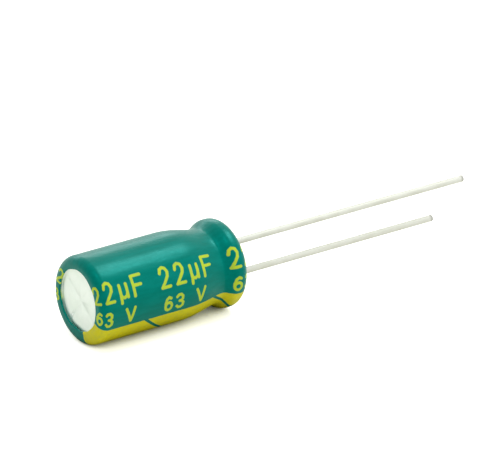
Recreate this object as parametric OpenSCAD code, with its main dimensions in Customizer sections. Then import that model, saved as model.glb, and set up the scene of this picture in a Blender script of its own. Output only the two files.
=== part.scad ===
// Radial aluminium electrolytic capacitor, lying on its side.
// Its leads point along +X, the scored end faces -X and the anode lead is the upper one.
// The origin is the middle of the seating plane, halfway between the two leads.

/* [Can] */
// Outside diameter of the aluminium can
can_d = 6.3; // [5.8:0.1:8]
// Length of the can, from the curled rim to the scored end
can_len = 12.45; // [11.8:0.05:16]
// Thickness of the side wall
wall_t = 0.25; // [0.2:0.01:0.3]
// Thickness of the end inside its shallow recess
end_t = 0.3; // [0.25:0.01:0.4]
// Outside radius of the corner round the scored end
corner_r = 0.5; // [0.4:0.05:0.6]
// Inside radius of the same corner
inner_corner_r = 0.3; // [0.2:0.05:0.4]
// Width of the raised edge round the recess in the scored end
recess_edge_w = 0.7; // [0.65:0.05:0.85]
// Depth of the recess
recess_depth = 0.12; // [0.08:0.01:0.25]
// Length of each line of the cross score
score_len = 3.8; // [2.6:0.1:3.8]
// Width of a score line at the surface
score_w = 0.24; // [0.16:0.01:0.3]
// Depth of a score line
score_depth = 0.14; // [0.08:0.01:0.18]
// Angle of the first score line from the lead plane
score_angle = 52; // [0:1:89]

/* [Bead and rim] */
// Distance of the bead's deepest point from the rim
bead_from_rim = 1.8; // [1.75:0.05:2.2]
// Depth of the rolled bead
bead_depth = 0.51; // [0.35:0.01:0.6]
// Length of the bead's slope on the body side
bead_body_side = 3.5; // [2.6:0.1:3.8]
// Length of the bead's slope on the rim side
bead_rim_side = 1.05; // [1:0.05:1.2]
// Outside radius of the curled rim
rim_r = 0.55; // [0.5:0.05:0.65]
// Angle through which the rim is curled over the bung
curl_angle = 150; // [125:5:160]

/* [Sleeve] */
// Thickness of the shrunk sleeve
sleeve_t = 0.15; // [0.1:0.01:0.2]
// Width of the sleeve's lip over the scored end
front_lip_w = 0.85; // [0.75:0.05:1.1]
// Width of the sleeve's lip over the rim
rear_lip_w = 0.8; // [0.75:0.05:1]
// Height at which the sleeve bridges the bottom of the bead
bridge_gap = 0.05; // [0.02:0.01:0.1]

/* [Bung] */
// Length of the rubber bung inside the can, from the rim
bung_len = 4.2; // [3.9:0.1:4.6]
// Depth of the bung's outer face below the rim
bung_recess = 0.35; // [0.3:0.05:0.5]
// Chamfer round the bung's inner face
bung_chamfer = 0.3; // [0.1:0.05:0.5]
// Depth of the narrow outer part of each bung hole
weld_hole_depth = 0.6; // [0.5:0.05:0.8]

/* [Leads] */
// Distance between the leads
lead_pitch = 2.5; // [2.2:0.1:2.8]
// Diameter of the lead wire
wire_d = 0.5; // [0.4:0.05:0.6]
// Length of the anode lead outside the seating plane
anode_lead_len = 21.5; // [15:0.5:30]
// Length of the cathode lead outside the seating plane
cathode_lead_len = 18.7; // [12:0.1:28]
// Diameter of the weld bulb between wire and tab
weld_d = 0.74; // [0.66:0.01:0.8]
// Length of the weld bulb
weld_len = 0.4; // [0.3:0.05:0.45]
// Diameter of a tab's round stem
stem_d = 0.94; // [0.9:0.01:1.1]
// Thickness of a tab's flattened blade
blade_t = 0.15; // [0.1:0.01:0.18]
// Half of the angle that a blade covers in the winding
blade_half_angle = 30; // [15:15:45]

/* [Wound element] */
// Radius of the hole that the winding spindle leaves
core_r = 0.75; // [0.6:0.05:0.8]
// Direction in which the winding starts, from the anode lead
wind_start = 30; // [0:15:345]
// Thickness of the anode foil
anode_foil_t = 0.1; // [0.08:0.01:0.11]
// Thickness of the cathode foil
cathode_foil_t = 0.05; // [0.04:0.01:0.06]
// Thickness of each separator paper
paper_t = 0.05; // [0.04:0.01:0.06]
// Thickness of the fixing tape
tape_t = 0.06; // [0.04:0.01:0.08]
// Height by which the papers stand past the foils at each end
foil_margin = 0.3; // [0.2:0.05:0.5]
// Height by which the papers stand past the tape at each end
tape_margin = 0.85; // [0.5:0.05:1.5]
// Space between the bung and the winding
element_gap = 0.45; // [0.4:0.05:0.6]
// Space between the winding and the scored end
end_gap = 0.35; // [0.2:0.05:0.6]
// Least space between the winding and the side wall
side_gap = 0.05; // [0.03:0.01:0.2]

/* [Hidden] */
$fn = 64;

// Clearance between round pieces that touch, and between the turns of the winding
fit_gap = 0.01;
turn_gap = 0.004;
// Rounding steps on small arcs, and along each slope of the bead
arc_steps = 9;
slope_steps = 12;
weld_steps = 6;
weld_foot = 0.02;
// How sharply the body side of the bead falls away from the straight wall
body_side_power = 1.4;
// Step between the corners of the wound strips, which all share them
step_angle = 15;
// Slope at the edge of the recess, chamfer on the cut wire ends, and a cut's overshoot
recess_slope = 0.1;
wire_chamfer = 0.06;
past = 0.1;

// Heights are measured from the seating plane towards the scored end, before the part is laid down
can_r = can_d / 2;
rim_z = fit_gap + sleeve_t;
end_z = rim_z + can_len;
recess_z = end_z - recess_depth;
recess_r = can_r - recess_edge_w;
inner_end_z = recess_z - end_t;
bead_z = rim_z + bead_from_rim;
rim_centre = [can_r - rim_r, rim_z + rim_r];
face_z = rim_z + bung_recess;
bung_top = rim_z + bung_len;
weld_top = face_z + weld_hole_depth;
stem_base = weld_top + fit_gap;
paper_base = bung_top + element_gap;
paper_w = inner_end_z - end_gap - paper_base;
foil_base = paper_base + foil_margin;
foil_w = paper_w - 2 * foil_margin;
tape_base = paper_base + tape_margin;
tape_w = paper_w - 2 * tape_margin;
stem_top = paper_base - fit_gap;
blade_base = bung_top + fit_gap;
blade_top = foil_base + foil_w - 2 * wire_d;

// Wound strips from the inside outwards: anode foil, paper, cathode foil, paper
strip_t = [anode_foil_t, paper_t, cathode_foil_t, paper_t];
turn_pitch = anode_foil_t + cathode_foil_t + 2 * paper_t + 4 * turn_gap;
first_turn_angle = 90;
blade_fade_angle = 30;
full_angle = 360;
// As many quarter turns as the can holds outside the core and inside the tape
wound_r = can_r - wall_t - side_gap - tape_t - blade_t - turn_gap;
turns = floor(4 * ((wound_r - core_r) / turn_pitch - 1)) / 4;
// Each tab as its strip and the angle along the winding at which it lies
anode_tab_at = [0, tab_winding_angle(0, 0)];
cathode_tab_at = [2, tab_winding_angle(2, full_angle / 2)];

// Radial profile of the can and of what follows it
// A station of a profile is its radius, its height, and the two parts of its outward normal
function smooth(t) = t <= 0 ? 0 : t >= 1 ? 1 : t * t * (3 - 2 * t);
function bead_shape(z) = z < bead_z
    ? smooth((z - bead_z + bead_rim_side) / bead_rim_side)
    : smooth(pow(max(0, (bead_z + bead_body_side - z) / bead_body_side), body_side_power));
function arc(centre, r, from, to) = [
    for (i = [0:arc_steps])
        let (a = from + (to - from) * i / arc_steps)
        [centre[0] + r * cos(a), centre[1] + r * sin(a), cos(a), sin(a)]
];
function side_station(z, depth) =
    let (dz = 0.001)
    let (slope = -depth * (bead_shape(z + dz) - bead_shape(z - dz)) / (2 * dz))
    let (size = norm([1, slope]))
    [can_r - depth * bead_shape(z), z, 1 / size, -slope / size];
function side(depth) = [
    for (i = [0:slope_steps]) side_station(bead_z - bead_rim_side * (1 - i / slope_steps), depth),
    for (i = [1:slope_steps]) side_station(bead_z + bead_body_side * i / slope_steps, depth)
];
// Points of a profile moved outwards along its normals
function moved(stations, d) = [for (s = stations) [s[0] + d * s[2], s[1] + d * s[3]]];
function reversed(list) = [for (i = [len(list) - 1:-1:0]) list[i]];

// Winding
// Angles count along the winding from its start, and go on past a full turn
function wrapped(a) = a - full_angle * floor((a + full_angle / 2) / full_angle);
function within_turn(a) = a - full_angle * floor(a / full_angle);
function strip_offset(strip) = strip < 1 ? 0 : strip_offset(strip - 1) + strip_t[strip - 1] + turn_gap;
function tab_winding_angle(strip, direction) =
    let (first = within_turn(direction - wind_start))
    let (first_r = core_r + turn_pitch * first / full_angle + strip_offset(strip) + strip_t[strip])
    let (turn = max(0, round((lead_pitch / 2 - blade_t / 2 - first_r) / turn_pitch)))
    first + full_angle * turn;
// Rise over a tab's blade of a strip that lies outside it
function rise(strip, angle, tab) =
    let (first = tab[1] - full_angle / 2 + (strip > tab[0] ? 0 : full_angle))
    let (off = abs(wrapped(angle - tab[1])))
    angle <= first ? 0
        : (blade_t + turn_gap) * smooth((blade_half_angle + blade_fade_angle - off) / blade_fade_angle);
function strip_r(strip, angle) = core_r + turn_pitch * angle / full_angle + strip_offset(strip)
    + rise(strip, angle, anode_tab_at) + rise(strip, angle, cathode_tab_at);
function strip_point(strip, angle, out) =
    let (r = strip_r(strip, angle) + out)
    [r * cos(angle + wind_start), r * sin(angle + wind_start)];
function strip_outline(strip, from, to, inner, outer) =
    let (angles = [from:step_angle:to])
    concat(
        [for (a = angles) strip_point(strip, a, inner)],
        reversed([for (a = angles) strip_point(strip, a, outer)])
    );

// Tips the part from standing on its leads onto its side
module lay_down() {
    rotate([0, -90, 0]) children();
}

// Places a piece on the anode side, or on the cathode side
module at_lead(side) {
    translate([side * lead_pitch / 2, 0, 0]) children();
}

module score_line(angle) {
    rotate([0, 0, angle])
        translate([0, score_len / 2, recess_z])
            rotate([90, 0, 0])
                linear_extrude(score_len)
                    polygon([[-score_w / 2, 0], [0, -score_depth], [score_w / 2, 0], [0, past]]);
}

module can() {
    inner_centre = [can_r - wall_t - inner_corner_r, inner_end_z - inner_corner_r];
    corner_centre = [can_r - corner_r, end_z - corner_r];
    shell = concat(
        moved(arc(rim_centre, rim_r, -curl_angle, 0), 0),
        moved(side(bead_depth), 0),
        moved(arc(corner_centre, corner_r, 0, 90), 0),
        [[recess_r, end_z], [recess_r - recess_slope, recess_z], [0, recess_z], [0, inner_end_z]],
        reversed(moved(arc(inner_centre, inner_corner_r, 0, 90), 0)),
        reversed(moved(side(bead_depth), -wall_t)),
        reversed(moved(arc(rim_centre, rim_r, -curl_angle, 0), -wall_t))
    );
    color("gainsboro") lay_down() difference() {
        rotate_extrude() polygon(shell);
        score_line(score_angle);
        score_line(score_angle + 90);
    }
}

module sleeve() {
    corner_centre = [can_r - corner_r, end_z - corner_r];
    inner = concat(
        arc(rim_centre, rim_r, -90, 0),
        side(bead_depth - bridge_gap),
        arc(corner_centre, corner_r, 0, 90)
    );
    front_lip = [can_r - front_lip_w + sleeve_t / 2, end_z + fit_gap + sleeve_t / 2];
    rear_lip = [can_r - rear_lip_w + sleeve_t / 2, rim_z - fit_gap - sleeve_t / 2];
    skin = concat(
        moved(inner, fit_gap + sleeve_t),
        moved(arc(front_lip, sleeve_t / 2, 90, 270), 0),
        reversed(moved(inner, fit_gap)),
        moved(arc(rear_lip, sleeve_t / 2, 90, 270), 0)
    );
    color("darkcyan") lay_down() rotate_extrude() polygon(skin);
}

module rubber_bung() {
    edge_angle = -curl_angle - atan(fit_gap / (rim_r - wall_t));
    edge = moved(arc(rim_centre, rim_r, edge_angle, edge_angle), 0)[0];
    squeezed = [for (s = side(bead_depth)) if (s[1] < bung_top - bung_chamfer) s];
    top_r = side_station(bung_top - bung_chamfer, bead_depth)[0] - wall_t - fit_gap;
    plug = concat(
        [[0, face_z], [edge[0] - past, face_z], edge],
        moved(arc(rim_centre, rim_r, edge_angle, 0), -wall_t - fit_gap),
        moved(squeezed, -wall_t - fit_gap),
        [[top_r, bung_top - bung_chamfer], [top_r - bung_chamfer, bung_top], [0, bung_top]]
    );
    color("dimgray") lay_down() difference() {
        rotate_extrude() polygon(plug);
        for (side = [-1, 1]) at_lead(side) {
            translate([0, 0, face_z - past]) cylinder(h = weld_hole_depth + past, d = weld_d + 2 * fit_gap);
            translate([0, 0, weld_top]) cylinder(h = bung_len, d = stem_d + 2 * fit_gap);
        }
    }
}

// Round wire with its weld bulb, whose foot runs out along the wire to the seating plane
module lead(length) {
    wire = wire_d / 2;
    foot = wire + weld_foot;
    swell = weld_d / 2 - foot;
    bulb = [for (i = [0:weld_steps]) [foot + swell * sin(180 * i / weld_steps), weld_top - weld_len * i / weld_steps]];
    tip = [[wire, 0], [wire, wire_chamfer - length], [wire - wire_chamfer, -length], [0, -length]];
    rotate_extrude() polygon(concat([[0, weld_top]], bulb, tip));
}

module anode_lead() {
    color("silver") lay_down() at_lead(1) lead(anode_lead_len);
}

module cathode_lead() {
    color("silver") lay_down() at_lead(-1) lead(cathode_lead_len);
}

// Round stem through the bung, with the flattened blade that lies on the foil
module tab(side, at) {
    strip = at[0];
    outer = strip_t[strip] + turn_gap;
    blade = strip_outline(strip, at[1] - blade_half_angle, at[1] + blade_half_angle, outer, outer + blade_t);
    at_lead(side) translate([0, 0, stem_base]) cylinder(h = stem_top - stem_base, d = stem_d);
    translate([0, 0, blade_base]) linear_extrude(blade_top - blade_base) polygon(blade);
}

module anode_tab() {
    color("lightgray") lay_down() tab(1, anode_tab_at);
}

module cathode_tab() {
    color("lightgray") lay_down() tab(-1, cathode_tab_at);
}

module wound_strip(strip, from, to, base, height) {
    lay_down() translate([0, 0, base]) linear_extrude(height)
        polygon(strip_outline(strip, from, to, 0, strip_t[strip]));
}

module anode_foil() {
    color("slategray")
        wound_strip(0, first_turn_angle, full_angle * (turns - 0.5), foil_base, foil_w);
}

module cathode_foil() {
    color("silver")
        wound_strip(2, first_turn_angle, full_angle * (turns - 0.25), foil_base, foil_w);
}

module inner_separator() {
    color("wheat") wound_strip(1, 0, full_angle * turns, paper_base, paper_w);
}

module outer_separator() {
    color("wheat") wound_strip(3, 0, full_angle * turns, paper_base, paper_w);
}

module fixing_tape() {
    start = full_angle * turns;
    color("khaki") lay_down() translate([0, 0, tape_base]) linear_extrude(tape_w)
        polygon(strip_outline(0, start + step_angle, start + full_angle - step_angle, 0, tape_t));
}

can();
sleeve();
rubber_bung();
anode_lead();
cathode_lead();
anode_tab();
cathode_tab();
anode_foil();
cathode_foil();
inner_separator();
outer_separator();
fixing_tape();
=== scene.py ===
from math import atan, atan2, cos, degrees, hypot, pi, radians, sin

import bpy
from mathutils import Matrix, Vector


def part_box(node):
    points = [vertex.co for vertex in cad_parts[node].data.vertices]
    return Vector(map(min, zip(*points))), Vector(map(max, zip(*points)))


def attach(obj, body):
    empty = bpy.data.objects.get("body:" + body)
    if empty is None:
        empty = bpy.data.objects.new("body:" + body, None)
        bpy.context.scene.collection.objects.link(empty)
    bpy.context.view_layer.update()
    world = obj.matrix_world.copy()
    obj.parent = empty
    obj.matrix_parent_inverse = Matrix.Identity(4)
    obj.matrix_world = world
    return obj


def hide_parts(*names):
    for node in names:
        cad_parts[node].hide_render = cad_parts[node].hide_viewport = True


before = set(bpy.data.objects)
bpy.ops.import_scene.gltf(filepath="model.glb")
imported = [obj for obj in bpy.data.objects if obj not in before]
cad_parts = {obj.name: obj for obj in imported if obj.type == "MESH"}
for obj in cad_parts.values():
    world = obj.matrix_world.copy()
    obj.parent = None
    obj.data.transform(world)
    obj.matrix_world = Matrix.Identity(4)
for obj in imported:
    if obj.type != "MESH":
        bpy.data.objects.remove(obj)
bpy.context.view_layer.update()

MM = 0.001
MERGE = 1e-7


def size_of(node):
    """Lowest and highest corner of a CAD node in millimetres."""
    low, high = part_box(node)
    return [c / MM for c in low], [c / MM for c in high]


sleeve_low, sleeve_high = size_of("sleeve")
can_high = size_of("can")[1]
bung_low, bung_high = size_of("rubber_bung")
anode_low, anode_high = size_of("anode_lead")
cathode_low, cathode_high = size_of("cathode_lead")

# Sizes of the pieces. Depths run from the seating plane towards the scored end of the can.
SLEEVE_R = sleeve_high[2]
CAN_R = can_high[2]
FIT_GAP = 0.01
SLEEVE_T = SLEEVE_R - CAN_R - FIT_GAP
RIM_DEPTH = FIT_GAP + SLEEVE_T
END_DEPTH = -sleeve_low[0] - FIT_GAP - SLEEVE_T
WALL_T = 0.25
END_T = 0.3
BEAD_DEPTH = 0.51
BRIDGE_GAP = 0.05
BEAD_AT = RIM_DEPTH + 1.8
BEAD_BODY_SIDE = 3.5
BEAD_RIM_SIDE = 1.05
BODY_SIDE_POWER = 1.4
RIM_R = 0.55
CURL_ANGLE = 150
CORNER_R = 0.5
INNER_CORNER_R = 0.3
RECESS_DEPTH = 0.12
RECESS_R = CAN_R - 0.7
FRONT_LIP_W = 0.85
REAR_LIP_W = 0.8
SCORE_LEN = 3.8
SCORE_W = 0.24
SCORE_DEPTH = 0.06
SCORE_ANGLE = 52
BUNG_FACE, BUNG_TOP = -bung_high[0], -bung_low[0]
BUNG_CHAMFER = 0.3
WELD_HOLE_R = 0.38
WELD_HOLE_DEPTH = 0.6
STEM_HOLE_R = 0.48
LEAD_OFFSET = 1.25
WIRE_R = 0.25
WELD_R = 0.37
WELD_LEN = 0.4

RIM_CENTRE = (RIM_DEPTH + RIM_R, CAN_R - RIM_R)
CORNER_CENTRE = (END_DEPTH - CORNER_R, CAN_R - CORNER_R)


# Outlines of the turned pieces are points of depth and radius. A station is such a point with its
# outward normal, so that the sleeve, the can and the bung can be drawn from one profile.

def smooth(t):
    t = min(max(t, 0), 1)
    return t * t * (3 - 2 * t)


def bead_shape(depth):
    """Share of the bead's full depth, steep on the side of the rim and long on the side of the body."""
    if depth < BEAD_AT:
        return smooth((depth - BEAD_AT + BEAD_RIM_SIDE) / BEAD_RIM_SIDE)
    return smooth(max(0, (BEAD_AT + BEAD_BODY_SIDE - depth) / BEAD_BODY_SIDE) ** BODY_SIDE_POWER)


def arc(centre, r, start, stop, steps=12):
    """Stations on an arc, with angles from the radial direction towards the scored end."""
    stations = []
    for i in range(steps + 1):
        a = radians(start + (stop - start) * i / steps)
        stations.append((centre[0] + r * sin(a), centre[1] + r * cos(a), sin(a), cos(a)))
    return stations


def side(bead, bead_steps=22, wall_steps=14, reach=0.001):
    """Stations along the side wall, through a bead of that depth, and on to the corner."""
    depths = [BEAD_AT - BEAD_RIM_SIDE * (1 - i / bead_steps) for i in range(bead_steps)]
    depths += [BEAD_AT + BEAD_BODY_SIDE * i / bead_steps for i in range(bead_steps + 1)]
    last = CORNER_CENTRE[0]
    depths += [depths[-1] + (last - depths[-1]) * i / wall_steps for i in range(1, wall_steps)]
    stations = []
    for d in depths:
        slope = -bead * (bead_shape(d + reach) - bead_shape(d - reach)) / (2 * reach)
        size = hypot(1, slope)
        stations.append((d, CAN_R - bead * bead_shape(d), -slope / size, 1 / size))
    return stations


def moved(stations, distance):
    """Points of a profile moved outwards along its normals."""
    return [(d + distance * nd, r + distance * nr) for d, r, nd, nr in stations]


def lip_flat(face, start_r, stop_r, steps=5):
    """Points between the two ends of a lip's flat face, from one radius to another."""
    return [(face, start_r + (stop_r - start_r) * i / steps) for i in range(1, steps)]


def sleeve_outline():
    inner = arc(RIM_CENTRE, RIM_R, -90, 0) + side(BEAD_DEPTH - BRIDGE_GAP)
    inner += arc(CORNER_CENTRE, CORNER_R, 0, 90)
    outer = moved(inner, FIT_GAP + SLEEVE_T)
    lining = moved(inner, FIT_GAP)[::-1]
    half = SLEEVE_T / 2
    front = (END_DEPTH + FIT_GAP + half, CAN_R - FRONT_LIP_W + half)
    rear = (RIM_DEPTH - FIT_GAP - half, CAN_R - REAR_LIP_W + half)
    front_flat = lip_flat(front[0] + half, CORNER_CENTRE[1], front[1])
    rear_flat = lip_flat(rear[0] - half, rear[1], RIM_CENTRE[1])
    front_edge = moved(arc(front, half, 90, 270, steps=8), 0)
    rear_edge = moved(arc(rear, half, 90, 270, steps=8), 0)
    return outer + front_flat + front_edge + lining + rear_edge + rear_flat


def can_outline():
    recess = END_DEPTH - RECESS_DEPTH
    end_inside = recess - END_T
    inner_centre = (end_inside - INNER_CORNER_R, CAN_R - WALL_T - INNER_CORNER_R)
    curl = arc(RIM_CENTRE, RIM_R, -CURL_ANGLE, 0, steps=18)
    wall = side(BEAD_DEPTH)
    corner = arc(CORNER_CENTRE, CORNER_R, 0, 90)
    # Pressed step of the recess, with a soft edge above its slanting wall and a soft foot below
    edge, slant, foot = 0.04, 0.08, 0.06
    middle_r = RECESS_R * 0.55
    step = [(END_DEPTH, RECESS_R + edge), (END_DEPTH - edge / 2, RECESS_R),
            (recess + foot / 2, RECESS_R - slant), (recess, RECESS_R - slant - foot),
            (recess, middle_r), (recess, 0)]
    inner_corner = arc(inner_centre, INNER_CORNER_R, 0, 90, steps=8)
    inner_wall = [s for s in wall if s[0] < inner_centre[0]]
    return (moved(curl, 0) + moved(wall, 0) + moved(corner, 0) + step + [(end_inside, 0)]
            + moved(inner_corner, 0)[::-1] + moved(inner_wall, -WALL_T)[::-1] + moved(curl, -WALL_T)[::-1])


def bung_outline():
    """Seal that fills the can's rim and bead, with its face against the curled edge."""
    inset = -WALL_T - FIT_GAP
    edge_angle = -CURL_ANGLE - degrees(atan(FIT_GAP / (RIM_R - WALL_T)))
    edge = moved(arc(RIM_CENTRE, RIM_R, edge_angle, edge_angle), 0)[0]
    middle_r, slope, band = 0.5, 0.1, 0.03
    face_r = edge[1] - slope
    face = [(BUNG_FACE, r) for r in (0, middle_r, face_r - band, face_r)]
    rim = moved(arc(RIM_CENTRE, RIM_R, edge_angle, 0, steps=18), inset)
    shoulder = BUNG_TOP - BUNG_CHAMFER
    squeezed = moved([s for s in side(BEAD_DEPTH) if s[0] < shoulder], inset)
    top_r = squeezed[-1][1]
    top = [(shoulder, top_r), (BUNG_TOP, top_r - BUNG_CHAMFER), (BUNG_TOP, 0)]
    return face + [edge] + rim + squeezed + top


def lead_outline(low, high, swell_steps=12, shaft_steps=24):
    """Wire with its weld bulb. The tip has the slight rounding that shears leave."""
    root, length = -low[0], high[0]
    collar, shear, middle_r = 0.02, 0.06, 0.08
    foot = WIRE_R + collar
    swell = [(root - WELD_LEN * i / swell_steps, foot + (WELD_R - foot) * sin(pi * i / swell_steps))
             for i in range(swell_steps + 1)]
    shaft = [(0, WIRE_R)] + [(-length * i / shaft_steps, WIRE_R) for i in range(1, shaft_steps)]
    tip = [(shear - length, WIRE_R), (shear / 2 - length, WIRE_R - shear / 4), (-length, WIRE_R - shear),
           (-length, middle_r), (-length, 0)]
    return [(root, 0)] + swell + shaft + tip


# Modelling

def nothing_selected():
    if bpy.context.mode != "OBJECT":
        bpy.ops.object.mode_set(mode="OBJECT")
    bpy.ops.object.select_all(action="DESELECT")


def pick(piece):
    """Makes a piece the only selected one, and the one that tools work on."""
    nothing_selected()
    bpy.context.view_layer.objects.active = piece
    piece.select_set(True)


def turned(name, outline, steps, lead_side=0):
    """Draws an outline point by point and spins it round the body's axis, or round a lead's."""
    nothing_selected()
    axis = Vector((0, 0, lead_side * LEAD_OFFSET * MM))
    points = [Vector((-d * MM, 0, r * MM)) + axis for d, r in outline]
    points.append(points[0])
    bpy.ops.mesh.primitive_plane_add(size=0.1 * MM, location=points[0])
    piece = bpy.context.object
    piece.name = name
    piece.data.name = name
    bpy.ops.object.transform_apply(location=True, rotation=True, scale=True)
    bpy.ops.object.mode_set(mode="EDIT")
    bpy.ops.mesh.select_all(action="SELECT")
    bpy.ops.mesh.merge(type="CENTER")
    for here, there in zip(points, points[1:]):
        bpy.ops.mesh.extrude_region_move(TRANSFORM_OT_translate={"value": there - here})
    bpy.ops.mesh.select_all(action="SELECT")
    bpy.ops.mesh.remove_doubles(threshold=MERGE)
    bpy.ops.mesh.spin(steps=steps, angle=2 * pi, center=axis, axis=(1, 0, 0))
    bpy.ops.mesh.select_all(action="SELECT")
    bpy.ops.mesh.remove_doubles(threshold=MERGE)
    bpy.ops.mesh.normals_make_consistent(inside=False)
    bpy.ops.object.mode_set(mode="OBJECT")
    return piece


def cut_away(piece, cutter):
    """Takes a closed shape out of a piece."""
    pick(piece)
    cut = piece.modifiers.new("cut", "BOOLEAN")
    cut.operation = "DIFFERENCE"
    cut.solver = "EXACT"
    cut.object = cutter
    bpy.ops.object.modifier_apply(modifier=cut.name)
    bpy.data.objects.remove(cutter)


def soft_shading(piece, angle=32):
    pick(piece)
    bpy.ops.object.shade_smooth_by_angle(angle=radians(angle))


def score_cutter(angle, top_width=1.5, bottom_width=0.02, bottom_length=0.94, proud=0.5):
    """A long wedge that cuts one line of the cross score, with ends that run out to nothing."""
    nothing_selected()
    depth = END_DEPTH - RECESS_DEPTH
    bpy.ops.mesh.primitive_cube_add(size=1)
    cutter = bpy.context.object
    cutter.scale = (MM, SCORE_W * top_width * MM, SCORE_LEN * MM)
    bpy.ops.object.transform_apply(location=False, rotation=False, scale=True)
    for corner in cutter.data.vertices:
        inner = corner.co.x > 0
        if inner:
            corner.co.y *= bottom_width
            corner.co.z *= bottom_length
        corner.co.x = (-depth + (SCORE_DEPTH if inner else -SCORE_DEPTH * proud)) * MM
    cutter.data.transform(Matrix.Rotation(radians(-angle), 4, "X"))
    return cutter


def lead_hole(lead_side, radius, start, stop):
    """A round cutter along a lead's axis, between two depths."""
    nothing_selected()
    bpy.ops.mesh.primitive_cylinder_add(
        vertices=72, radius=radius * MM, depth=(stop - start) * MM, rotation=(0, pi / 2, 0),
        location=(-(start + stop) / 2 * MM, 0, lead_side * LEAD_OFFSET * MM))
    return bpy.context.object


LIP_SHIFT, LIP_SHIFT_ANGLE = 0.1, 0.35
LIP_WAVES = [(0.018, 3, 1.0), (0.012, 7, 0.0), (0.008, 12, 2.0)]


def uneven_lip(piece):
    """Shifts the edge of the front lip a little up and out of round, as the film shrank."""
    flat_from = sleeve_low[0] + SLEEVE_T + FIT_GAP / 2
    start_r, edge_r = CORNER_CENTRE[1], CAN_R - FRONT_LIP_W
    for v in piece.data.vertices:
        y, z = v.co.y / MM, v.co.z / MM
        r = hypot(y, z)
        if v.co.x / MM > flat_from or r > start_r:
            continue
        share = smooth((start_r - r) / (start_r - edge_r))
        angle = atan2(-y, z)
        stretch = LIP_SHIFT * cos(angle + LIP_SHIFT_ANGLE)
        stretch += sum(height * sin(turns * angle + start) for height, turns, start in LIP_WAVES)
        v.co.y *= 1 + share * stretch / r
        v.co.z *= 1 + share * stretch / r


def along_the_film(piece):
    """Stores how far each point of the sleeve lies from the scored end, measured along the film."""
    front_zone, rear_zone = sleeve_low[0] + 0.7, -0.8
    wall_r = SLEEVE_R - 0.02
    values = []
    for v in piece.data.vertices:
        x, r = v.co.x / MM, hypot(v.co.y, v.co.z) / MM
        reach = x - sleeve_low[0]
        if x < front_zone and r < wall_r:
            reach -= SLEEVE_R - r
        elif x > rear_zone and r < wall_r:
            reach += SLEEVE_R - r
        values.append(reach)
    store = piece.data.attributes.new("along", "FLOAT", "POINT")
    store.data.foreach_set("value", values)


# Materials

class Field:
    """A value that varies over a surface: a shader socket on which sums can be written."""

    def __init__(self, tree, socket=None):
        self.tree = tree
        self.socket = socket

    def make(self, kind, settings=None, sockets=None, output=0):
        """Adds a node: its type, its settings, then the values or links of its sockets."""
        node = self.tree.nodes.new(kind)
        for name, value in (settings or {}).items():
            setattr(node, name, value)
        for name, value in (sockets or {}).items():
            if isinstance(value, Field):
                self.tree.links.new(value.socket, node.inputs[name])
            else:
                node.inputs[name].default_value = value
        return Field(self.tree, node.outputs[output])

    def calculate(self, operation, first, second=0.0, clamp=False):
        return self.make("ShaderNodeMath", {"operation": operation, "use_clamp": clamp},
                         {0: first, 1: second})

    def __add__(self, other):
        return self.calculate("ADD", self, other)

    def __radd__(self, other):
        return self.calculate("ADD", other, self)

    def __sub__(self, other):
        return self.calculate("SUBTRACT", self, other)

    def __rsub__(self, other):
        return self.calculate("SUBTRACT", other, self)

    def __mul__(self, other):
        return self.calculate("MULTIPLY", self, other)

    def __rmul__(self, other):
        return self.calculate("MULTIPLY", other, self)

    def __neg__(self):
        return self.calculate("MULTIPLY", self, -1.0)

    def __abs__(self):
        return self.calculate("ABSOLUTE", self)

    def clamped(self):
        return self.calculate("ADD", self, 0.0, clamp=True)

    def above(self, limit):
        return self.calculate("GREATER_THAN", self, limit)

    def least(self, other):
        return self.calculate("MINIMUM", self, other)

    def most(self, other):
        return self.calculate("MAXIMUM", self, other)

    def within_period(self, period):
        return self.calculate("FLOORED_MODULO", self, period)

    def angle_with(self, other):
        return self.calculate("ARCTAN2", self, other)

    def ramp(self, low, high, start=0.0, end=1.0):
        """Runs smoothly from start to end as the field goes from low to high."""
        return self.make("ShaderNodeMapRange", {"interpolation_type": "SMOOTHSTEP", "clamp": True},
                         {"Value": self, "From Min": low, "From Max": high, "To Min": start, "To Max": end})

    def joined(self, other):
        """A point on a flat sheet, from this field and another."""
        return self.make("ShaderNodeCombineXYZ", sockets={0: self, 1: other, 2: 0.0})

    def scaled(self, factor):
        return self.make("ShaderNodeVectorMath", {"operation": "SCALE"}, {0: self, "Scale": factor})

    def of(self, vector):
        """This share of a constant vector."""
        return self.make("ShaderNodeVectorMath", {"operation": "SCALE"}, {0: vector, "Scale": self})

    def vector(self, operation, other=(0.0, 0.0, 0.0), output=0):
        return self.make("ShaderNodeVectorMath", {"operation": operation}, {0: self, 1: other}, output)

    def length(self):
        return self.vector("LENGTH", output=1)

    def part(self, index):
        return self.make("ShaderNodeSeparateXYZ", sockets={0: self}, output=index)

    def blend(self, start, end):
        """Mixes two colours by this field. A Mix node has its colour sockets after those for numbers."""
        return self.make("ShaderNodeMix", {"data_type": "RGBA"}, {0: self, 6: start, 7: end}, 2)

    def noise(self, scale, detail=3.0, roughness=0.5):
        return self.make("ShaderNodeTexNoise", sockets={
            "Vector": self, "Scale": scale, "Detail": detail, "Roughness": roughness})

    def ray(self, kind):
        """One for a kind of ray, such as Camera or Glossy, and zero for all others."""
        return self.make("ShaderNodeLightPath", output=f"Is {kind} Ray")


def shade(colour):
    """A colour from its three parts of 255, as a screen shows it."""
    parts = []
    for c in colour:
        c /= 255
        parts.append(c / 12.92 if c <= 0.04045 else ((c + 0.055) / 1.055) ** 2.4)
    return (*parts, 1.0)


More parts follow.
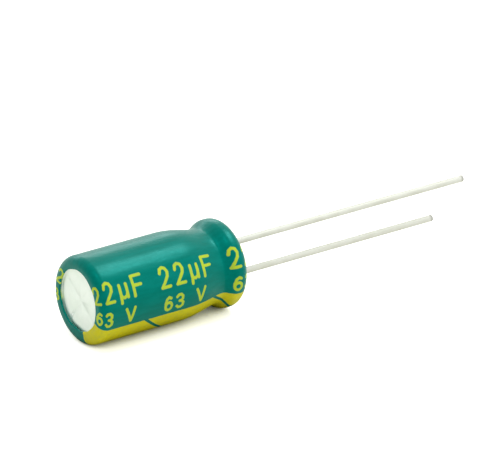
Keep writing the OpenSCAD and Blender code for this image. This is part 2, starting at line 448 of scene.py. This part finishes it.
class Finish:
    """One material: its surface shader and the coordinates of the piece in millimetres."""

    def __init__(self, name, **constants):
        self.material = bpy.data.materials.new(name)
        self.material.use_nodes = True
        self.tree = self.material.node_tree
        self.surface = self.tree.nodes["Principled BSDF"]
        for socket, value in constants.items():
            self.surface.inputs[socket.replace("_", " ")].default_value = value
        metres = Field(self.tree).make("ShaderNodeTexCoord", output=3)
        self.place = metres.scaled(1 / MM)
        self.x, self.y, self.z = (self.place.part(i) for i in range(3))

    def attribute(self, name):
        return Field(self.tree).make("ShaderNodeAttribute", {"attribute_name": name}, output=2)

    def feed(self, socket, field):
        self.tree.links.new(field.socket, self.surface.inputs[socket])

    def relief(self, height, distance_mm, strength):
        """Raises the surface by a height field, through a Bump node."""
        self.feed("Normal", height.make("ShaderNodeBump", sockets={
            "Height": height, "Distance": distance_mm * MM, "Strength": strength}))

    def stretched(self, sx, sy, sz):
        """Coordinates squeezed along each axis, for grain that runs one way."""
        return self.place.vector("MULTIPLY", (sx, sy, sz))


# Strokes of the rating's signs, each in a box one wide and one high, from its top left corner
SIGN_2 = [(0.06, 0.27), (0.2, 0.07), (0.5, 0.0), (0.8, 0.07), (0.95, 0.27), (0.85, 0.48), (0.42, 0.76),
          (0.04, 1.0), (1.0, 1.0)]
SIGN_3 = [(0.05, 0.13), (0.28, 0.01), (0.65, 0.01), (0.9, 0.15), (0.88, 0.34), (0.7, 0.47), (0.42, 0.48),
          (0.72, 0.5), (0.96, 0.68), (0.9, 0.89), (0.65, 1.0), (0.3, 1.0), (0.03, 0.86)]
SIGN_6_BACK = [(0.86, 0.1), (0.56, 0.0), (0.24, 0.14), (0.05, 0.45), (0.04, 0.72)]
SIGN_MICRO = [(0.0, 1.36), (0.0, 0.0), (0.0, 0.72), (0.14, 0.95), (0.45, 1.0), (0.78, 0.88), (0.92, 0.62)]
SIGN_MICRO_STEM = [(0.92, 0.0), (0.92, 1.0)]
SIGN_F = [(0.95, 0.0), (0.0, 0.0), (0.0, 1.0)]
SIGN_F_BAR = [(0.0, 0.48), (0.82, 0.48)]
SIGN_V = [(0.0, 0.0), (0.5, 1.0), (1.0, 0.0)]

# Layout of the print in millimetres: u runs along the film, and v round it, down from the top
PERIOD = 6.12
FIRST_SIGN = 5.05
ROW_1, ROW_1_HEIGHT = 2.83, 1.46
ROW_2, ROW_2_HEIGHT = 5.1, 1.02
ROW_1_HALF_STROKE, ROW_2_HALF_STROKE = 0.114, 0.106
TWIN_STEP, TWIN_FROM = 1.3, 1.16
TWIN_BOX = (0.12, ROW_1, 0.72, ROW_1_HEIGHT)
MICRO_BOX = (2.76, ROW_1 + 0.42, 0.62, ROW_1_HEIGHT - 0.5)
F_BOX = (3.92, ROW_1, 0.78, ROW_1_HEIGHT)
SIX_BOX = (0.3, ROW_2, 0.58, ROW_2_HEIGHT)
SIX_BOWL = (0.6, ROW_2 + ROW_2_HEIGHT * 0.7, 0.27, ROW_2_HEIGHT * 0.3)
THREE_BOX = (1.3, ROW_2, 0.58, ROW_2_HEIGHT)
V_BOX = (3.1, ROW_2, 0.72, ROW_2_HEIGHT)
ROW_1_SIGNS = [(SIGN_MICRO, MICRO_BOX), (SIGN_MICRO_STEM, MICRO_BOX), (SIGN_F, F_BOX), (SIGN_F_BAR, F_BOX)]
ROW_2_SIGNS = [(SIGN_6_BACK, SIX_BOX), (SIGN_3, THREE_BOX), (SIGN_V, V_BOX)]
STRIPE_FROM, STRIPE_TO = 6.5, 9.45
SLASH_U, SLASH_V, SLASH_SLOPE = 3.95, 6.6, 1.05
SLASH_CLEAR, SLASH_INKED = 0.14, 0.2
INK_EDGE = 0.03
SHAKE = 0.05


def stroke_distance(point, strokes, box):
    """Distance from a point on the film to a sign's strokes, in its box of left, top, width and height."""
    left, top, width, height = box
    nearest = None
    placed = [(left + u * width, top + v * height) for u, v in strokes]
    for (u0, v0), (u1, v1) in zip(placed, placed[1:]):
        reach = (u1 - u0, v1 - v0, 0.0)
        square = reach[0] ** 2 + reach[1] ** 2
        offset = point.vector("SUBTRACT", (u0, v0, 0.0))
        share = offset.vector("DOT_PRODUCT", (reach[0] / square, reach[1] / square, 0.0), output=1).clamped()
        away = offset.vector("SUBTRACT", share.of(reach)).length()
        nearest = away if nearest is None else nearest.least(away)
    return nearest


def ring_distance(point, oval):
    """Distance to an upright oval line of a given middle, half width and half height."""
    u, v, half_width, half_height = oval
    offset = point.vector("SUBTRACT", (u, v, 0.0)).vector("MULTIPLY", (1 / half_width, 1 / half_height, 0.0))
    return abs(offset.length() - 1.0) * ((half_width + half_height) / 2)


def within(measure, limit):
    """One where a measure stays under a limit and zero beyond it, with the ink's soft edge between."""
    return measure.ramp(limit - INK_EDGE, limit + INK_EDGE, 1.0, 0.0)


def printed_film():
    """Teal film with the rating repeated along it in yellow ink, and the broken polarity stripe."""
    film = Finish("printed_film", Specular_IOR_Level=0.3, Specular_Tint=(0.0, 1.0, 0.93, 1.0))
    along = film.attribute("along")
    around = (-film.y).angle_with(film.z) * SLEEVE_R
    wobble = (film.place.noise(3.5, 2.0) - 0.5) * SHAKE
    far_side = (-around).above(0.0)
    turn = 1.0 - 2.0 * far_side
    u = (along * turn - FIRST_SIGN).within_period(PERIOD) + wobble
    v = abs(around) + (film.place.noise(4.5, 2.0) - 0.5) * SHAKE
    flat = u.joined(v)
    second = u.above(TWIN_FROM)
    row_1 = stroke_distance((u - TWIN_STEP * second).joined(v), SIGN_2, TWIN_BOX)
    for strokes, box in ROW_1_SIGNS:
        row_1 = row_1.least(stroke_distance(flat, strokes, box))
    row_2 = ring_distance(flat, SIX_BOWL)
    for strokes, box in ROW_2_SIGNS:
        row_2 = row_2.least(stroke_distance(flat, strokes, box))
    signs = within(row_1, ROW_1_HALF_STROKE).most(within(row_2, ROW_2_HALF_STROKE))
    slash = (along - SLASH_U - (v - SLASH_V) * SLASH_SLOPE).within_period(PERIOD)
    slash = abs(slash - PERIOD / 2).ramp(PERIOD / 2 - SLASH_INKED, PERIOD / 2 - SLASH_CLEAR, 1.0, 0.0)
    slash = slash.most(1.0 - along.above(1.0))
    stripe = v.ramp(STRIPE_FROM - INK_EDGE, STRIPE_FROM + INK_EDGE) * within(v, STRIPE_TO)
    stripe = stripe * slash * (1.0 - far_side)
    ink = signs.most(stripe)
    thin_ink = film.place.noise(2.2, 4.0).ramp(0.3, 0.62, 0.88, 1.0)
    streaks = film.stretched(0.5, 3.0, 3.0).noise(1.1, 3.0)
    teal = streaks.ramp(0.3, 0.7).blend(shade((0, 122, 108)), shade((2, 130, 117)))
    yellow = stripe.blend(shade((206, 226, 48)), shade((236, 226, 22)))
    film.feed("Base Color", (ink * thin_ink).blend(teal, yellow))
    film.feed("Roughness", ink * 0.1 + film.place.noise(6.0, 2.0).ramp(0.3, 0.7, 0.28, 0.34))
    waves = film.stretched(0.35, 1.0, 1.0).noise(0.9, 2.0)
    skin = film.place.noise(9.0, 2.0)
    film.relief(waves + skin * 0.08, 0.06, 0.6)
    return film.material


def drawn_aluminium():
    """Satin aluminium of the can, drawn along the wall and faintly turned on its end."""
    metal = Finish("drawn_aluminium", Metallic=1.0)
    radius = metal.place.vector("MULTIPLY", (0.0, 1.0, 1.0)).length()
    rings = (metal.x * 0.3).joined(radius).noise(16.0, 2.0)
    draw = metal.stretched(0.4, 5.0, 5.0).noise(3.0, 3.0)
    cloud = metal.place.noise(0.8, 3.0).ramp(0.3, 0.7)
    metal.feed("Base Color", cloud.blend(shade((228, 238, 230)), shade((238, 245, 239))))
    metal.feed("Roughness", 0.34 + 0.12 * cloud + 0.08 * draw)
    metal.relief(rings * 0.5 + draw * 0.5, 0.01, 0.5)
    return metal.material


def tinned_wire():
    """Dull tin over steel wire, with drawn lines along it, soft patches and a colour that turns darker grey
    towards each wire's cut end.
    """
    tin = Finish("tinned_wire", Specular_IOR_Level=0.3)
    lines = tin.stretched(0.08, 6.0, 6.0).noise(4.0, 3.0)
    patches = tin.stretched(0.5, 1.0, 1.0).noise(1.6, 4.0).ramp(0.35, 0.68)
    # Darker grey over the last part of each wire, up to its cut end
    grey_from, grey_to = 0.35, 0.02
    short_end, long_end = (tin.x.ramp(end - grey_from, end - grey_to) for end in (cathode_high[0], anode_high[0]))
    greyer_tip = ((1.0 - tin.z.above(0.0)) * short_end).most(long_end)
    dull = patches.blend(shade((228, 230, 217)), shade((240, 242, 232)))
    tin.feed("Base Color", greyer_tip.blend(dull, shade((176, 176, 168))))
    tin.feed("Metallic", 0.05 + 0.2 * lines)
    tin.feed("Roughness", 0.42 + 0.16 * patches + 0.1 * lines)
    tin.relief(lines + 0.4 * patches, 0.012, 0.5)
    return tin.material


def seal_rubber():
    """Matt black rubber with a fine bloom and moulding grain."""
    rubber = Finish("seal_rubber", Specular_IOR_Level=0.35)
    bloom = rubber.place.noise(1.3, 4.0).ramp(0.4, 0.75)
    grain = rubber.place.noise(14.0, 3.0)
    rubber.feed("Base Color", bloom.blend(shade((34, 34, 35)), shade((58, 57, 56))))
    rubber.feed("Roughness", 0.62 + 0.2 * grain)
    rubber.relief(grain, 0.02, 0.6)
    return rubber.material


def etched_foil(name, dark, bright, rough):
    """Aluminium foil roughened by etching, with faint rolling lines across the strip."""
    foil = Finish(name, Metallic=1.0)
    pits = foil.place.noise(22.0, 4.0, 0.65)
    rolling = foil.stretched(1.0, 0.4, 0.4).noise(6.0, 2.0)
    foil.feed("Base Color", (pits * 0.6 + rolling * 0.4).ramp(0.3, 0.7).blend(shade(dark), shade(bright)))
    foil.feed("Roughness", rough + 0.2 * pits)
    foil.relief(pits, 0.01, 0.6)
    return foil.material


def tab_aluminium():
    """Clean soft aluminium of the tabs, with press marks."""
    tab = Finish("tab_aluminium", Metallic=1.0)
    marks = tab.stretched(1.0, 2.0, 2.0).noise(5.0, 3.0)
    tab.feed("Base Color", marks.ramp(0.3, 0.7).blend(shade((200, 203, 206)), shade((226, 228, 230))))
    tab.feed("Roughness", 0.25 + 0.25 * marks)
    tab.relief(marks, 0.01, 0.5)
    return tab.material


def soaked_paper():
    """Separator paper soaked in electrolyte, with its fibres showing."""
    paper = Finish("soaked_paper")
    fibres = paper.stretched(1.0, 5.0, 5.0).noise(6.0, 5.0, 0.7)
    blots = paper.place.noise(0.7, 2.0).ramp(0.35, 0.65)
    tone = fibres * 0.6 + blots * 0.4
    paper.feed("Base Color", tone.blend(shade((196, 170, 122)), shade((236, 220, 182))))
    paper.feed("Roughness", 0.35 + 0.3 * fibres)
    paper.relief(fibres, 0.015, 0.6)
    return paper.material


def fixing_film():
    """Amber fixing tape with a smooth face."""
    tape = Finish("fixing_film")
    ripple = tape.stretched(0.3, 1.0, 1.0).noise(2.0, 2.0)
    tape.feed("Base Color", ripple.ramp(0.3, 0.7).blend(shade((192, 158, 86)), shade((214, 184, 112))))
    tape.feed("Roughness", 0.18 + 0.15 * ripple)
    tape.relief(ripple, 0.01, 0.4)
    return tape.material


def table_top():
    """White table, as bright as the backdrop to the eye but for a painted shadow under the body: near the
    body its glow fades and its colour turns yellow, and its colour in bounce light is painted darker there.
    """
    white = Finish("table_white", Roughness=0.9, Specular_IOR_Level=0.0, Emission_Strength=1.0)
    watched, mirrored = white.place.ray("Camera"), white.place.ray("Glossy")
    sky_reach = 15 * MM
    painted_yellow_shadow, black, white_glow = (0.93, 0.93, 0.12, 1.0), (0.0, 0.0, 0.0, 1.0), (0.7, 0.7, 0.66, 1.0)
    painted_dark_bounce, open_bounce = (0.08, 0.08, 0.03, 1.0), (0.84, 0.84, 0.78, 1.0)
    # Share of open sky round each point of the table: the mask for its painted shadow and painted shade
    open_sky = watched.make("ShaderNodeAmbientOcclusion", {"samples": 16}, {"Distance": sky_reach}, output=1)
    paper = white.place.noise(0.4, 2.0).blend((0.93, 0.93, 0.9, 1.0), (0.95, 0.95, 0.92, 1.0))
    # Painted shadow: a yellow tint on the table near the body, where little sky is open, as the camera sees
    # it
    painted_shadow_tint = open_sky.ramp(0.05, 0.42).blend(painted_yellow_shadow, paper)
    # Painted shade: the table's colour in bounce light darkens near the body, which shades the body's
    # underside
    painted_shade_bounce = open_sky.ramp(0.22, 0.84).blend(painted_dark_bounce, open_bounce)
    white.feed("Base Color", watched.blend(painted_shade_bounce, painted_shadow_tint))
    # Painted shadow and painted reflection: the glow that the camera sees fades near the body, and a weaker
    # glow brightens the table in reflections away from it
    painted_glow_and_shadow = (watched * open_sky.ramp(0.0, 0.34)).most(mirrored * open_sky.ramp(0.35, 0.9, 0.0, 0.4))
    white.feed("Emission Color", painted_glow_and_shadow.blend(black, white_glow))
    return white.material


# The pieces that replace their CAD nodes

sleeve = turned("shrunk_sleeve", sleeve_outline(), steps=192)
along_the_film(sleeve)
uneven_lip(sleeve)
soft_shading(sleeve, angle=50)

can = turned("drawn_can", can_outline(), steps=160)
cut_away(can, score_cutter(SCORE_ANGLE))
cut_away(can, score_cutter(SCORE_ANGLE + 90))
soft_shading(can)

bung = turned("moulded_bung", bung_outline(), steps=128)
past, overlap = 0.2, 0.02
shelf = BUNG_FACE + WELD_HOLE_DEPTH
for lead_side in (1, -1):
    cut_away(bung, lead_hole(lead_side, WELD_HOLE_R, BUNG_FACE - past, shelf + overlap))
    cut_away(bung, lead_hole(lead_side, STEM_HOLE_R, shelf, BUNG_TOP + past))
soft_shading(bung)

long_lead = turned("anode_wire", lead_outline(anode_low, anode_high), steps=40, lead_side=1)
short_lead = turned("cathode_wire", lead_outline(cathode_low, cathode_high), steps=40, lead_side=-1)
soft_shading(long_lead)
soft_shading(short_lead)


def dress(piece, material, node):
    """Gives a piece its material, hides the CAD node that it replaces, and fixes it to the body."""
    piece.data.materials.clear()
    piece.data.materials.append(material)
    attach(piece, "root")
    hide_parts(node)


wire_finish = tinned_wire()
dress(sleeve, printed_film(), "sleeve")
dress(can, drawn_aluminium(), "can")
dress(bung, seal_rubber(), "rubber_bung")
dress(long_lead, wire_finish, "anode_lead")
dress(short_lead, wire_finish, "cathode_lead")

# The inner pieces are the CAD's own, with materials
inner_finishes = [
    (tab_aluminium(), ["anode_tab", "cathode_tab"]),
    (etched_foil("anode_etch", (96, 102, 108), (138, 143, 148), 0.5), ["anode_foil"]),
    (etched_foil("cathode_etch", (158, 160, 162), (194, 196, 198), 0.35), ["cathode_foil"]),
    (soaked_paper(), ["inner_separator", "outer_separator"]),
    (fixing_film(), ["fixing_tape"]),
]
for finish, nodes in inner_finishes:
    for node in nodes:
        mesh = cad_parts[node].data
        mesh.materials.clear()
        mesh.materials.append(finish)

# Table, large enough to reach past the picture's edges
TABLE_SIZE = 3.0
nothing_selected()
bpy.ops.mesh.primitive_plane_add(size=TABLE_SIZE, location=(0, 0, -SLEEVE_R * MM))
table = bpy.context.object
table.name = "table"
bpy.ops.object.transform_apply(location=True, rotation=True, scale=True)
table.data.materials.append(table_top())

# Backdrop: full white where it is seen, by the camera or in a reflection, and softer as light
LIT, SEEN = 0.45, 1.0
world = bpy.data.worlds.new("white_tent")
bpy.context.scene.world = world
world.use_nodes = True
tree = world.node_tree
backdrop = tree.nodes["Background"]
backdrop.inputs["Color"].default_value = (1, 1, 1, 1)
start = Field(tree)
seen = start.ray("Camera").most(start.ray("Glossy")).most(start.ray("Transmission"))
tree.links.new((LIT + (SEEN - LIT) * seen).socket, backdrop.inputs["Strength"])

# Softboxes round the body
BODY_MIDDLE = Vector((-6.0 * MM, 0, 0))


def softbox(name, direction, distance, width, height, radiance):
    """A rectangular lamp that faces the body's middle from a direction, measured in metres."""
    nothing_selected()
    direction = Vector(direction).normalized()
    bpy.ops.object.light_add(type="AREA", location=BODY_MIDDLE + direction * distance)
    lamp = bpy.context.object
    lamp.name = name
    lamp.rotation_euler = direction.to_track_quat("Z", "Y").to_euler()
    lamp.data.shape = "RECTANGLE"
    lamp.data.size = width
    lamp.data.size_y = height
    lamp.data.energy = radiance * pi * width * height
    lamp.visible_camera = False


softbox("top_softbox", (0.51, -0.05, 0.86), 0.7, 0.3, 0.15, 13.0)
softbox("left_softbox", (-0.25, -0.22, 0.94), 0.7, 0.15, 0.15, 9.0)
softbox("front_softbox", (0.6, -0.7, 0.4), 0.8, 0.35, 0.35, 1.6)
softbox("rear_softbox", (0.2, 0.86, 0.42), 0.7, 0.62, 0.18, 2.7)

# Camera at the photo's angle: azimuth and height of the line of sight through a point of the axis,
# then how far to the right of that point, above it and away from it the camera stands, in millimetres
AZIMUTH, HEIGHT = radians(-35.0974), radians(23.3242)
AIM_FROM_END = 6.0
TO_RIGHT, TO_TOP, AWAY = 7.3951, 4.1197, 449.84
aim = Vector((sleeve_low[0] + AIM_FROM_END, 0, 0))
right = Vector((cos(AZIMUTH), sin(AZIMUTH), 0))
back = Vector((sin(AZIMUTH) * cos(HEIGHT), -cos(AZIMUTH) * cos(HEIGHT), sin(HEIGHT)))
up = back.cross(right)
eye = (aim + TO_RIGHT * right + TO_TOP * up + AWAY * back) * MM
nothing_selected()
bpy.ops.object.camera_add(location=eye, rotation=Matrix((right, up, back)).transposed().to_euler())
camera = bpy.context.object
camera.data.lens = 450.8
camera.data.sensor_fit = "HORIZONTAL"
camera.data.sensor_width = 36
camera.data.clip_start = 0.01
bpy.context.scene.camera = camera
bpy.context.scene.view_settings.view_transform = "Standard"
